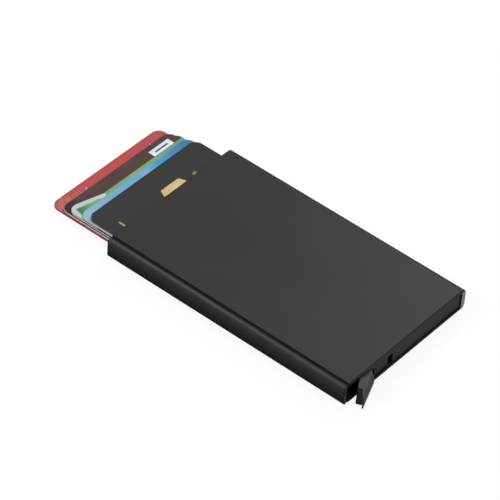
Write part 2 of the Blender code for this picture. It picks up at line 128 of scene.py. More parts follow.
def light_studio():
    world = bpy.data.worlds.new("studio")
    bpy.context.scene.world = world
    world.use_nodes = True
    tree = world.node_tree
    shown = add(tree, "MapRange", {"Value": seen_directly(tree), "To Min": SKY_LEVEL, "To Max": 1.0})
    feed(tree, tree.nodes["Background"].inputs["Strength"], shown.outputs[0])
    tree.nodes["Background"].inputs["Color"].default_value = WHITE
    for name, place, size, power in SOFT_BOXES:
        bpy.ops.object.light_add(type="AREA", location=place)
        lamp = bpy.context.object
        lamp.name = name
        lamp.rotation_mode = "QUATERNION"
        lamp.rotation_quaternion = (-Vector(place)).to_track_quat("-Z", "Y")
        lamp.data.shape = "SQUARE"
        lamp.data.size = size
        lamp.data.energy = power
        lamp.visible_camera = False
    bpy.ops.mesh.primitive_plane_add(size=FLOOR_SIZE, location=(0, 0, -FLOOR_DROP))
    floor = bpy.context.object
    floor.name = "floor"
    paper = bpy.data.materials.new("white_paper_floor")
    paper.use_nodes = True
    tree = paper.node_tree
    shader = tree.nodes["Principled BSDF"]
    shader.inputs["Base Color"].default_value = (FLOOR_TONE, FLOOR_TONE, FLOOR_TONE, 1)
    shader.inputs["Roughness"].default_value = 1
    shader.inputs["Specular IOR Level"].default_value = 0
    shader.inputs["Emission Color"].default_value = WHITE
    glow = add_math(tree, "MULTIPLY", seen_directly(tree), FLOOR_GLOW)
    feed(tree, shader.inputs["Emission Strength"], glow)
    floor.data.materials.append(paper)


light_studio()


# Aluminium case: an extruded tube with round long sides, blasted and anodised black. A groove
# runs along both plates beside the near side, and two countersinks in the underside take the
# screws. Its ends are sawn and their edges dressed. The ends are painted paler, partly as the sawn
# metal and partly as painted light; the case also carries painted shade and a painted highlight.
NEAR_WALL = 1.25 * MM
FAR_WALL = 2.05 * MM
PLATE = 1.0 * MM
SIDE_RADIUS = 2.4 * MM
FOOT_RADIUS = 1.7 * MM
CAVITY_RADIUS = 0.9 * MM
END_ROUND = 0.3 * MM
SIDE_STEPS = 12
FOOT_STEPS = 10
CAVITY_STEPS = 6
END_STEPS = 3
# The groove is wider and deeper than in the CAD part, so that it shades as in the photograph.
GROOVE_FROM_SIDE = 1.85 * MM
GROOVE_WIDTH = 1.2 * MM
GROOVE_DEPTH = 0.75 * MM
SINK_RADIUS = 2.56 * MM
SINK_NECK = 0.75 * MM
SINK_DEPTH = 1.2 * MM
CASE_EDGE = 0.12 * MM
EDGE_STEPS = 3
SHARP_ANGLE = math.radians(32)
ROUND_SIDES = 48
SCREWS = ("block_screw", "cap_screw")
# How far a cutting tool reaches past what it cuts, how near counts as touching, and how much of
# a direction lies along an axis when it counts as parallel.
PAST = 1.0 * MM
NEARLY = 0.01 * MM
PARALLEL = 0.99


def leave_all():
    """Back to object mode with nothing selected, so that an operator acts on a new piece alone."""
    if bpy.context.mode != "OBJECT":
        bpy.ops.object.mode_set(mode="OBJECT")
    bpy.ops.object.select_all(action="DESELECT")


def pick(piece):
    leave_all()
    piece.select_set(True)
    bpy.context.view_layer.objects.active = piece


def add_block(name, low, high):
    leave_all()
    low, high = Vector(low), Vector(high)
    bpy.ops.mesh.primitive_cube_add(size=1, location=(low + high) / 2)
    made = bpy.context.object
    made.name = name
    made.scale = high - low
    bpy.ops.object.transform_apply(location=True, rotation=True, scale=True)
    return made


def add_round(name, place, low, high, low_radius, high_radius=None):
    """A cylinder or cone that stands along Z."""
    leave_all()
    bpy.ops.mesh.primitive_cone_add(
        vertices=ROUND_SIDES,
        radius1=low_radius,
        radius2=low_radius if high_radius is None else high_radius,
        depth=high - low,
        location=(place[0], place[1], (low + high) / 2),
    )
    made = bpy.context.object
    made.name = name
    bpy.ops.object.transform_apply(location=True, rotation=True, scale=True)
    return made


def choose(piece, kind, test):
    """Goes into edit mode and selects the vertices, edges or faces that pass a test."""
    pick(piece)
    bpy.ops.object.mode_set(mode="EDIT")
    bpy.ops.mesh.select_mode(type=kind)
    bpy.ops.mesh.select_all(action="DESELECT")
    shape = bmesh.from_edit_mesh(piece.data)
    for part in {"VERT": shape.verts, "EDGE": shape.edges, "FACE": shape.faces}[kind]:
        part.select_set(test(part))
    shape.select_flush_mode()
    bmesh.update_edit_mesh(piece.data)


def along(axis):
    """A test for edges that run along one axis."""
    def test(edge):
        run = edge.verts[1].co - edge.verts[0].co
        return abs(run[axis]) > PARALLEL * run.length
    return test


def round_edges(piece, test, radius, segments):
    choose(piece, "EDGE", test)
    bpy.ops.mesh.bevel(offset=radius, segments=segments, affect="EDGES")
    bpy.ops.object.mode_set(mode="OBJECT")


def combine(piece, tool, operation):
    """Cuts a tool out of a piece, or welds it on, and takes the tool away."""
    pick(piece)
    change = piece.modifiers.new(operation, "BOOLEAN")
    change.operation = operation
    change.solver = "EXACT"
    change.object = tool
    bpy.ops.object.modifier_apply(modifier=change.name)
    bpy.data.objects.remove(tool, do_unlink=True)


def soften(piece, width, segments=EDGE_STEPS):
    """Breaks every sharp edge, then shades the piece smooth with flat faces kept flat."""
    pick(piece)
    bevel = piece.modifiers.new("edges", "BEVEL")
    bevel.width = width
    bevel.segments = segments
    bevel.limit_method = "ANGLE"
    bevel.angle_limit = SHARP_ANGLE
    bpy.ops.object.modifier_apply(modifier=bevel.name)
    bpy.ops.object.shade_smooth()
    weighted = piece.modifiers.new("flat_faces", "WEIGHTED_NORMAL")
    weighted.keep_sharp = False
    bpy.ops.object.modifier_apply(modifier=weighted.name)


def dress(piece, body, finish, slot, *nodes):
    """Gives a finished piece its material, its CAD body and the nodes that it stands for."""
    piece.data.materials.clear()
    piece.data.materials.append(finish)
    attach(piece, body)
    if nodes:
        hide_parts(*nodes)


def colour(red, green, blue):
    """Turns a screen colour, from 0 to 255, into the renderer's numbers by the sRGB curve."""
    linear = []
    for level in (red, green, blue):
        share = level / 255
        linear.append(share / 12.92 if share < 0.04045 else ((share + 0.055) / 1.055) ** 2.4)
    return (*linear, 1)


def new_group(name, inputs, outputs):
    """An empty node group with named sockets. Returns it with its input and output nodes."""
    group = bpy.data.node_groups.new(name, "ShaderNodeTree")
    for label, kind in inputs:
        group.interface.new_socket(label, in_out="INPUT", socket_type="NodeSocket" + kind)
    for label, kind in outputs:
        group.interface.new_socket(label, in_out="OUTPUT", socket_type="NodeSocket" + kind)
    return group, group.nodes.new("NodeGroupInput"), group.nodes.new("NodeGroupOutput")


def rising(tree, value, start, end):
    """0 where a value is at its start, 1 where it is at its end, and a straight line between."""
    return add(tree, "MapRange", {"Value": value, "From Min": start, "From Max": end}).outputs[0]


def between(tree, share, low, high):
    """Spreads a share from 0 to 1 over a range of its own."""
    return add(tree, "MapRange", {"Value": share, "To Min": low, "To Max": high}).outputs[0]


def component(tree, vector, axis):
    return add(tree, "SeparateXYZ", {"Vector": vector}).outputs[axis]


SMUDGE_LEVELS = (0.35, 0.7)


def make_grain_group():
    """Fine surface grain with broad, faint smudges: a height, and a share of handling marks."""
    group, given, out = new_group(
        "surface_grain",
        (("Point", "Vector"), ("Grain size", "Float"), ("Smudge size", "Float")),
        (("Grain", "Float"), ("Smudge", "Float")),
    )
    fine_scale = add_math(group, "DIVIDE", 1.0, given.outputs["Grain size"])
    fine = add(group, "TexNoise", {"Vector": given.outputs["Point"], "Scale": fine_scale, "Detail": 3.0})
    broad_scale = add_math(group, "DIVIDE", 1.0, given.outputs["Smudge size"])
    broad = add(group, "TexNoise", {"Vector": given.outputs["Point"], "Scale": broad_scale, "Detail": 4.0})
    feed(group, out.inputs["Grain"], fine.outputs["Fac"])
    feed(group, out.inputs["Smudge"], rising(group, broad.outputs["Fac"], *SMUDGE_LEVELS))
    return group


GRAIN = make_grain_group()


def place_group(tree, group, values):
    made = tree.nodes.new("ShaderNodeGroup")
    made.node_tree = group
    for name, value in values.items():
        feed(tree, made.inputs[name], value)
    return made


# A Mix node has sockets of one name for every kind of value, so those for colours go by number.
MIX_FIRST_COLOUR = 6
MIX_SECOND_COLOUR = 7
MIX_COLOUR_OUT = 2


def blend_colours(tree, share, first, second):
    """The first colour where share is 0, the second where it is 1."""
    mixed = add(tree, "Mix", data_type="RGBA")
    feed(tree, mixed.inputs["Factor"], share)
    feed(tree, mixed.inputs[MIX_FIRST_COLOUR], first)
    feed(tree, mixed.inputs[MIX_SECOND_COLOUR], second)
    return mixed.outputs[MIX_COLOUR_OUT]


def start_material(name):
    """A new material, its node tree, its Principled shader and the point being shaded."""
    made = bpy.data.materials.new(name)
    made.use_nodes = True
    tree = made.node_tree
    point = add(tree, "TexCoord").outputs["Object"]
    return made, tree, tree.nodes["Principled BSDF"], point


def roughen(tree, shader, height, depth):
    bump = add(tree, "Bump", {"Height": height, "Distance": depth})
    feed(tree, shader.inputs["Normal"], bump.outputs["Normal"])


def grain_at(tree, point, grain_size, smudge_size):
    return place_group(tree, GRAIN, {"Point": point, "Grain size": grain_size, "Smudge size": smudge_size})


def finish_surface(tree, shader, grain, base, gloss, bump):
    """Feeds a shader its colour, a roughness that follows the smudges, and the grain's relief."""
    feed(tree, shader.inputs["Base Color"], base)
    feed(tree, shader.inputs["Roughness"], between(tree, grain.outputs["Smudge"], *gloss))
    roughen(tree, shader, grain.outputs["Grain"], bump)


# How much of a surface's normal lies along an axis, where a tone starts and where it is full.
SQUARE_ON = (0.6, 0.9)
HALF_TURNED = (0.2, 0.5)


def facing(tree, axis, limits=SQUARE_ON):
    """1 where a surface faces along an axis, either way, and 0 elsewhere."""
    share = add_math(tree, "ABSOLUTE", component(tree, add(tree, "TexCoord").outputs["Normal"], axis))
    return rising(tree, share, *limits)


METAL_SHARE = 0.3
ANODISED_GLOSS = (0.39, 0.46)
ANODISED_GRAIN = 0.16 * MM
ANODISED_SMUDGES = 24 * MM
ANODISED_BUMP = 0.004 * MM
EDGE_TINT = (0.5, 0.5, 0.5, 1)
ANODISED_TONE = colour(57, 57, 58)
ANODISED_WORN = colour(60, 59, 60)
# Painted shade towards the foot of the sides.
SIDE_FOOT_SHADE_TONE = colour(38, 38, 41)
SIDE_SHADE_FADE = (6.2 * MM, 2.4 * MM)
# Painted shade along the edges at the ends.
END_EDGE_SHADE_TONE = colour(35, 35, 36)
END_EDGE_WIDTH = 0.42 * MM
# Ends painted paler, partly as the sawn metal and partly as painted light.
SAWN_AND_LIT_END_TONE = colour(84, 83, 84)
# Painted highlight on the end of the far wall.
FAR_END_HIGHLIGHT_TONE = colour(190, 188, 190)
SAWN_DEPTH = 0.2 * MM
# Painted shade in the groove.
GROOVE_SHADE_TONE = colour(42, 42, 44)
GROOVE_SHADE = 0.28 * MM


def anodised(name, low, high):
    """Black anodised aluminium: blasted grain, faint handling marks, ends painted a little paler, partly as
    painted light.

    The sides carry painted shade that darkens them towards the foot, and painted shade darkens the
    rounded edges at the ends. A painted highlight makes the end of the far wall beside the cap the
    palest, and painted shade makes the groove the darkest.
    """
    made, tree, shader, point = start_material(name)
    grain = grain_at(tree, point, ANODISED_GRAIN, ANODISED_SMUDGES)
    place = add(tree, "SeparateXYZ", {"Vector": point})
    base = blend_colours(tree, grain.outputs["Smudge"], ANODISED_TONE, ANODISED_WORN)
    # Painted shade: the sides are darkened towards the foot.
    low_down = rising(tree, place.outputs["Z"], *SIDE_SHADE_FADE)
    side_foot_shade = add_math(tree, "MULTIPLY", facing(tree, "Y"), low_down)
    base = blend_colours(tree, side_foot_shade, base, SIDE_FOOT_SHADE_TONE)
    # Painted shade: a dark line along the rounded edges at the ends, and a dark band at the lever end.
    beside_end = add_math(tree, "GREATER_THAN", place.outputs["X"], high.x - END_EDGE_WIDTH)
    end_edge = add_math(tree, "MAXIMUM", facing(tree, "X", HALF_TURNED), beside_end)
    base = blend_colours(tree, end_edge, base, END_EDGE_SHADE_TONE)
    # The ends are painted paler: partly the paler sawn metal, partly painted light.
    base = blend_colours(tree, facing(tree, "X"), base, SAWN_AND_LIT_END_TONE)
    # Painted highlight: the end of the far wall beside the cap is painted pale.
    at_end = add_math(tree, "GREATER_THAN", place.outputs["X"], high.x - SAWN_DEPTH)
    in_far_wall = add_math(tree, "GREATER_THAN", place.outputs["Y"], high.y - FAR_WALL)
    under_plate = add_math(tree, "LESS_THAN", place.outputs["Z"], high.z - PLATE)
    over_plate = add_math(tree, "GREATER_THAN", place.outputs["Z"], PLATE)
    far_end_highlight = add_math(tree, "MULTIPLY", add_math(tree, "MULTIPLY", at_end, in_far_wall), under_plate)
    base = blend_colours(tree, add_math(tree, "MULTIPLY", far_end_highlight, over_plate), base, FAR_END_HIGHLIGHT_TONE)
    # Painted shade: the inside of the groove is darkened.
    off_groove = add_math(tree, "SUBTRACT", place.outputs["Y"], low.y + GROOVE_FROM_SIDE)
    off_groove = add_math(tree, "ABSOLUTE", off_groove)
    near_groove = add_math(tree, "LESS_THAN", off_groove, GROOVE_WIDTH / 2 + NEARLY)
    off_middle = add_math(tree, "SUBTRACT", place.outputs["Z"], (low.z + high.z) / 2)
    off_middle = add_math(tree, "ABSOLUTE", off_middle)
    sunk = add_math(tree, "LESS_THAN", off_middle, (high.z - low.z) / 2 - GROOVE_SHADE)
    base = blend_colours(tree, add_math(tree, "MULTIPLY", near_groove, sunk), base, GROOVE_SHADE_TONE)
    shader.inputs["Metallic"].default_value = METAL_SHARE
    shader.inputs["Specular IOR Level"].default_value = 0.0
    shader.inputs["Specular Tint"].default_value = EDGE_TINT
    finish_surface(tree, shader, grain, base, ANODISED_GLOSS, ANODISED_BUMP)
    return made


def make_case():
    low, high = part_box("card_shell")
    near_cavity = low.y + NEAR_WALL
    far_cavity = high.y - FAR_WALL
    is_long = along(0)

    def is_foot_edge(edge):
        return is_long(edge) and edge.verts[0].co.z < PLATE

    def is_side_edge(edge):
        corner = edge.verts[0].co
        at_side = min(abs(corner.y - low.y), abs(corner.y - high.y)) < NEARLY
        return is_long(edge) and at_side and corner.z > high.z - NEARLY

    def is_end_edge(edge):
        return abs(edge.verts[0].co.x - edge.verts[1].co.x) < NEARLY

    case = add_block("aluminium_case", low, high)
    round_edges(case, is_foot_edge, FOOT_RADIUS, FOOT_STEPS)
    round_edges(case, is_side_edge, SIDE_RADIUS, SIDE_STEPS)
    round_edges(case, is_end_edge, END_ROUND, END_STEPS)
    cavity = add_block(
        "cavity",
        (low.x - PAST, near_cavity, PLATE),
        (high.x + PAST, far_cavity, high.z - PLATE),
    )
    round_edges(cavity, is_long, CAVITY_RADIUS, CAVITY_STEPS)
    combine(case, cavity, "DIFFERENCE")
    groove_y = low.y + GROOVE_FROM_SIDE
    for floor_z, top_z in ((high.z - GROOVE_DEPTH, high.z + PAST), (low.z - PAST, low.z + GROOVE_DEPTH)):
        groove = add_block(
            "groove",
            (low.x - PAST, groove_y - GROOVE_WIDTH / 2, floor_z),
            (high.x + PAST, groove_y + GROOVE_WIDTH / 2, top_z),
        )
        combine(case, groove, "DIFFERENCE")
    for screw in SCREWS:
        screw_low, screw_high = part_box(screw)
        middle = (screw_low + screw_high) / 2
        combine(case, add_round("sink", middle, -PAST, SINK_DEPTH, SINK_RADIUS, SINK_NECK), "DIFFERENCE")
    soften(case, CASE_EDGE)
    finish = anodised("black_anodised_aluminium", low, high)
    dress(case, "case", finish, "shell", "card_shell")


make_case()


# Side liners: moulded black strips between the metal side walls and the cards. A felt strip
# is glued in the inner face of each, and grips the edges of the cards.
LINER_CORNER = 0.3 * MM
LINER_STEPS = 5
LINER_EDGE = 0.08 * MM
FELT_EDGE = 0.12 * MM
FELT_STEPS = 4
FIBRE_SIZE = 0.12 * MM
TUFT_SIZE = 0.5 * MM
PILE_HEIGHT = 0.03 * MM
FELT_ROUGHNESS = 0.95
FELT_SHEEN = 0.4
PLASTIC_SHINE = 0.05
PLASTIC_GRAIN = 0.25 * MM
PLASTIC_SMUDGES = 9 * MM
PLASTIC_BUMP = 0.005 * MM


def moulded(name, tone, handled_tone, gloss, near_far_face_shade=None):
    """Moulded plastic: a fine spark-eroded texture with faint flow and handling marks.

    The faces towards the near and the far side can be given painted shade, a darker tone of their own.
    """
    made, tree, shader, point = start_material(name)
    grain = grain_at(tree, point, PLASTIC_GRAIN, PLASTIC_SMUDGES)
    base = blend_colours(tree, grain.outputs["Smudge"], tone, handled_tone)
    # Painted shade on the faces towards the near and the far side.
    if near_far_face_shade:
        base = blend_colours(tree, facing(tree, "Y"), base, near_far_face_shade)
    shader.inputs["Specular IOR Level"].default_value = PLASTIC_SHINE
    finish_surface(tree, shader, grain, base, gloss, PLASTIC_BUMP)
    return made


def felted(name, tone, fibre_tone):
    """Pressed felt: short crossed fibres with a soft sheen."""
    made, tree, shader, point = start_material(name)
    fibres = add(tree, "TexNoise", {
        "Vector": point, "Scale": 1 / FIBRE_SIZE, "Detail": 6.0, "Distortion": 2.0,
    })
    tufts = add(tree, "TexVoronoi", {"Vector": point, "Scale": 1 / TUFT_SIZE})
    pile = add_math(tree, "ADD", fibres.outputs["Fac"], tufts.outputs["Distance"])
    feed(tree, shader.inputs["Base Color"], blend_colours(tree, fibres.outputs["Fac"], tone, fibre_tone))
    shader.inputs["Roughness"].default_value = FELT_ROUGHNESS
    shader.inputs["Sheen Weight"].default_value = FELT_SHEEN
    roughen(tree, shader, pile, PILE_HEIGHT)
    return made


def make_sides():
    plastic = moulded("black_liner_plastic", colour(36, 36, 37), colour(42, 42, 43), (0.5, 0.6))
    felt = felted("black_felt", colour(22, 22, 23), colour(38, 38, 40))
    for side in ("near", "far"):
        liner = add_block(side + "_liner", *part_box(side + "_side_liner"))
        round_edges(liner, along(0), LINER_CORNER, LINER_STEPS)
        soften(liner, LINER_EDGE)
        dress(liner, "case", plastic, "liner", side + "_side_liner")
        strip = add_block(side + "_felt", *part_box(side + "_felt_strip"))
        choose(strip, "FACE", lambda face: True)
        bpy.ops.mesh.bisect(plane_co=(0, 0, 0), plane_no=(1, 0, 0))
        soften(strip, FELT_EDGE, FELT_STEPS)
        dress(strip, "case", felt, "felt", side + "_felt_strip")


make_sides()


# End cap: one moulding that closes the lever end. Its thin brow runs over the hinge block to
# the lever's pin, and a thick return at the far side takes a screw from below. Its far side
# and its foot are spread a little, to the outline that the photograph shows.
CAP_WALL = 1.2 * MM
CAP_RETURN = 4.4 * MM
BROW_THICKNESS = 1.6 * MM
SLOT_WIDTH = 2.1 * MM
CAP_CORNER = 0.7 * MM
CAP_STEPS = 5
CAP_SPREAD = 0.24 * MM
CAP_EDGE = 0.2 * MM
HUB_RADIUS = 1.6 * MM
PIN_HOLE_RADIUS = 0.65 * MM
SCREW_HOLE_RADIUS = 0.65 * MM
HOLE_SPARE = 0.2 * MM

pivot = Vector(joints["lever_swing"]["pos_m"])
black_plastic = moulded("black_cap_plastic", colour(53, 52, 53), colour(61, 59, 60), (0.42, 0.5))


def drill_for_screw(piece, screw):
    low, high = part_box(screw)
    hole = add_round("screw_hole", (low + high) / 2, low.z, high.z + HOLE_SPARE, SCREW_HOLE_RADIUS)
    combine(piece, hole, "DIFFERENCE")


def make_cap():
    low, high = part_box("end_cap")
    slot_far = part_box("hinge_block")[1].y + SLOT_WIDTH
    low.z -= CAP_SPREAD
    high.y += CAP_SPREAD
    cap = add_block("lever_end_cap", (high.x - CAP_WALL, slot_far, low.z), high)
    inner = add_block("return", (low.x, high.y - CAP_RETURN, low.z), (high.x - CAP_WALL / 2, high.y, high.z))
    combine(cap, inner, "UNION")
    is_long = along(0)

    def is_far_corner(edge):
        return is_long(edge) and edge.verts[0].co.y > high.y - NEARLY

    round_edges(cap, is_far_corner, CAP_CORNER, CAP_STEPS)
    brow_low = high.z - BROW_THICKNESS
    brow = add_block("brow", (pivot.x - HUB_RADIUS, pivot.y, brow_low), (high.x, slot_far + CAP_WALL, high.z))
    combine(cap, brow, "UNION")
    knuckle = add_round("knuckle", pivot, brow_low, high.z, HUB_RADIUS)
    combine(cap, knuckle, "UNION")
    combine(cap, add_round("pin_hole", pivot, brow_low - PAST, high.z + PAST, PIN_HOLE_RADIUS), "DIFFERENCE")
    drill_for_screw(cap, "cap_screw")
    soften(cap, CAP_EDGE)
    dress(cap, "case", black_plastic, "cap", "end_cap")


make_cap()


# Hinge block: a small moulding between the slot and the lever. Its lower tongue carries the
# foot of the lever's pin, and a screw from below holds it.
KNUCKLE_THICKNESS = 1.0 * MM
RUNNING_GAP = 0.3 * MM
BLOCK_SETBACK = 0.2 * MM
BLOCK_EDGE = 0.15 * MM


def make_hinge_block():
    low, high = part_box("hinge_block")
    near = pivot.y + HUB_RADIUS + RUNNING_GAP
    block = add_block("lever_hinge_block", (low.x, near, low.z), (high.x - BLOCK_SETBACK, high.y, high.z))
    tongue = add_block(
        "tongue",
        (pivot.x - HUB_RADIUS, pivot.y, low.z),
        (pivot.x + HUB_RADIUS, near + BLOCK_SETBACK, low.z + KNUCKLE_THICKNESS),
    )
    combine(block, tongue, "UNION")
    knuckle = add_round("knuckle", pivot, low.z, low.z + KNUCKLE_THICKNESS, HUB_RADIUS)
    combine(block, knuckle, "UNION")
    pin_hole = add_round("pin_hole", pivot, low.z - PAST, low.z + 2 * PAST, PIN_HOLE_RADIUS)
    combine(block, pin_hole, "DIFFERENCE")
    drill_for_screw(block, "block_screw")
    soften(block, BLOCK_EDGE)
    dress(block, "case", black_plastic, "cap", "hinge_block")


make_hinge_block()


# Steel pieces: the hinge pin, the arm's dowel and the two slotted screws in the underside. All
# are turned from bright steel; the screws hold the cap and the hinge block to the lower plate.
SCREW_HEAD_RADIUS = 1.3 * MM
SCREW_SHANK_RADIUS = 0.6 * MM
SCREW_HEAD_HEIGHT = 0.7 * MM
DRIVE_SLOT_WIDTH = 0.4 * MM
DRIVE_SLOT_DEPTH = 0.3 * MM
SHANK_OVERLAP = 0.1 * MM
SCREW_EDGE = 0.04 * MM
FINE_STEPS = 2
STEEL_GLOSS = (0.22, 0.34)
STEEL_GRAIN = 0.1 * MM
STEEL_SMUDGES = 2 * MM
STEEL_BUMP = 0.001 * MM


def turned_steel(name):
    """Bright turned steel with a very fine grain and duller smudges."""
    made, tree, shader, point = start_material(name)
    grain = grain_at(tree, point, STEEL_GRAIN, STEEL_SMUDGES)
    tone = blend_colours(tree, grain.outputs["Smudge"], colour(188, 188, 190), colour(160, 160, 163))
    shader.inputs["Metallic"].default_value = 1.0
    finish_surface(tree, shader, grain, tone, STEEL_GLOSS, STEEL_BUMP)
    return made


steel = turned_steel("bright_steel")


def make_screws():
    for node in SCREWS:
        low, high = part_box(node)
        middle = (low + high) / 2
        head_top = low.z + SCREW_HEAD_HEIGHT
        screw = add_round(node + "_turned", middle, low.z, head_top, SCREW_HEAD_RADIUS, SCREW_SHANK_RADIUS)
        shank = add_round("shank", middle, head_top - SHANK_OVERLAP, high.z, SCREW_SHANK_RADIUS)
        combine(screw, shank, "UNION")
        slot = add_block(
            "slot",
            (middle.x - 2 * SCREW_HEAD_RADIUS, middle.y - DRIVE_SLOT_WIDTH / 2, low.z - PAST),
            (middle.x + 2 * SCREW_HEAD_RADIUS, middle.y + DRIVE_SLOT_WIDTH / 2, low.z + DRIVE_SLOT_DEPTH),
        )
        combine(screw, slot, "DIFFERENCE")
        soften(screw, SCREW_EDGE, FINE_STEPS)
        dress(screw, "case", steel, "steel", node)


make_screws()
# The pin and the dowel keep the shapes of their CAD pieces.
for node in ("pivot_pin", "arm_dowel"):
    frame["nodes"][node].data.materials.clear()
    frame["nodes"][node].data.materials.append(steel)


# Thumb lever: a moulded blade on a round hub. Its outer face is scooped for the thumb, with a
# lip along the foot, and a tongue behind the hub takes the arm.
LEVER_REACH = 12.65 * MM
LEVER_ROOT = 0.6 * MM
INNER_ROOT = 1.9 * MM
INNER_TIP = 0.05 * MM
TIP_RADIUS = 0.6 * MM
TIP_STEPS = 6
TIP_FOOT_RADIUS = 0.4 * MM
TIP_FOOT_STEPS = 4
RIDGE_OFFSET = 1.66 * MM
RIDGE_HEIGHT = 0.7 * MM
TIP_LEAN = 1.6 * MM
LIP_OFFSET = 2.75 * MM
LIP_INNER = 2.3 * MM
LIP_HEIGHT = 0.9 * MM
LIP_OVERHANG = 0.7 * MM
LIP_ROUND = 0.55 * MM
LIP_STEPS = 4
WEB_LENGTH = 2.6 * MM
TONGUE_WIDTH = 3.0 * MM
SCOOP_CUTS = 12
SKIN_STEP = 0.12 * MM
SKIN_EASE = 6
SKIN_EASE_SHARE = 0.5
OPEN_ANGLE = -math.radians(joints["lever_swing"]["range_deg"][0])
ARM_DEPTH = 4.0 * MM
ARM_CLEARANCE = 0.4 * MM
TONGUE_INSERT = 2.6 * MM
DOWEL_HOLE_RADIUS = 0.55 * MM

lever_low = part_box("ejector_arm")[0].z
lever_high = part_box("ejector_arm")[1].z
hub_low = lever_low + KNUCKLE_THICKNESS + RUNNING_GAP
hub_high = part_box("hinge_block")[1].z
arm_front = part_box("near_side_liner")[1].x + ARM_CLEARANCE - pivot.x
tongue_end = arm_front + ARM_DEPTH - TONGUE_INSERT


def from_pivot(x, y, z):
    return (pivot.x + x, pivot.y + y, z)


def swing_open(piece):
    """Turns a piece that was modelled with the lever shut to where the photograph has it."""
    pick(piece)
    bpy.context.scene.cursor.location = pivot
    bpy.ops.object.origin_set(type="ORIGIN_CURSOR")
    piece.rotation_euler.z = OPEN_ANGLE
    bpy.ops.object.transform_apply(location=True, rotation=True, scale=True)


def cut_level(piece, heights):
    """Adds a level row of edges round a piece at each height."""
    choose(piece, "FACE", lambda face: True)
    for height in heights:
        bpy.ops.mesh.select_all(action="SELECT")
        bpy.ops.mesh.bisect(plane_co=(0, 0, height), plane_no=(0, 0, 1))
    bpy.ops.object.mode_set(mode="OBJECT")


def scoop_out(blade, scoop_low, scoop_high):
    """Hollows the blade's outer face, from a lip along its foot up to a thin ridge."""
    heights = [scoop_low + (scoop_high - scoop_low) * cut / SCOOP_CUTS for cut in range(SCOOP_CUTS + 1)]
    cut_level(blade, heights)
    for cut, height in enumerate(heights + [lever_high]):
        depth = (LIP_OFFSET - RIDGE_OFFSET) * math.sin(min(cut / SCOOP_CUTS, 1) * math.pi / 2)
        choose(blade, "VERT", lambda vert: (
            abs(vert.co.z - height) < NEARLY and vert.co.x > pivot.x + RIDGE_OFFSET
        ))
        bpy.ops.transform.translate(value=(-depth, 0, 0))
        bpy.ops.object.mode_set(mode="OBJECT")


def is_tip_corner(edge):
    """The upright edge at the inner side of the blade's free end."""
    ends = [vert.co for vert in edge.verts]
    tip_y = pivot.y - LEVER_REACH + TIP_LEAN + NEARLY
    at_tip = all(end.y < tip_y and end.x < pivot.x + RIDGE_OFFSET / 2 for end in ends)
    return at_tip and abs(ends[0].z - ends[1].z) > NEARLY


def is_tip_foot(edge):
    """The bottom edge of the blade's free end."""
    tip_y = pivot.y - LEVER_REACH + NEARLY
    return all(vert.co.y < tip_y and vert.co.z < lever_low + NEARLY for vert in edge.verts)


def is_lip_end(edge):
    """The two edges across the end of the lip."""
    run = edge.verts[1].co - edge.verts[0].co
    at_end = edge.verts[0].co.y < pivot.y - LEVER_REACH - LIP_OVERHANG + NEARLY
    return at_end and abs(run.x) > abs(run.y) + abs(run.z)


def drill_for_dowel(piece):
    place = from_pivot(tongue_end + TONGUE_INSERT / 2, 0, 0)
    hole = add_round("dowel_hole", place, lever_low - PAST, lever_high + PAST, DOWEL_HOLE_RADIUS)
    combine(piece, hole, "DIFFERENCE")


def mould_in_one(piece):
    """Melts the welded forms into one skin with softly rounded edges."""
    pick(piece)
    skin = piece.modifiers.new("skin", "REMESH")
    skin.mode = "VOXEL"
    skin.voxel_size = SKIN_STEP
    bpy.ops.object.modifier_apply(modifier=skin.name)
    ease = piece.modifiers.new("ease", "SMOOTH")
    ease.factor = SKIN_EASE_SHARE
    ease.iterations = SKIN_EASE
    bpy.ops.object.modifier_apply(modifier=ease.name)
    bpy.ops.object.shade_smooth()


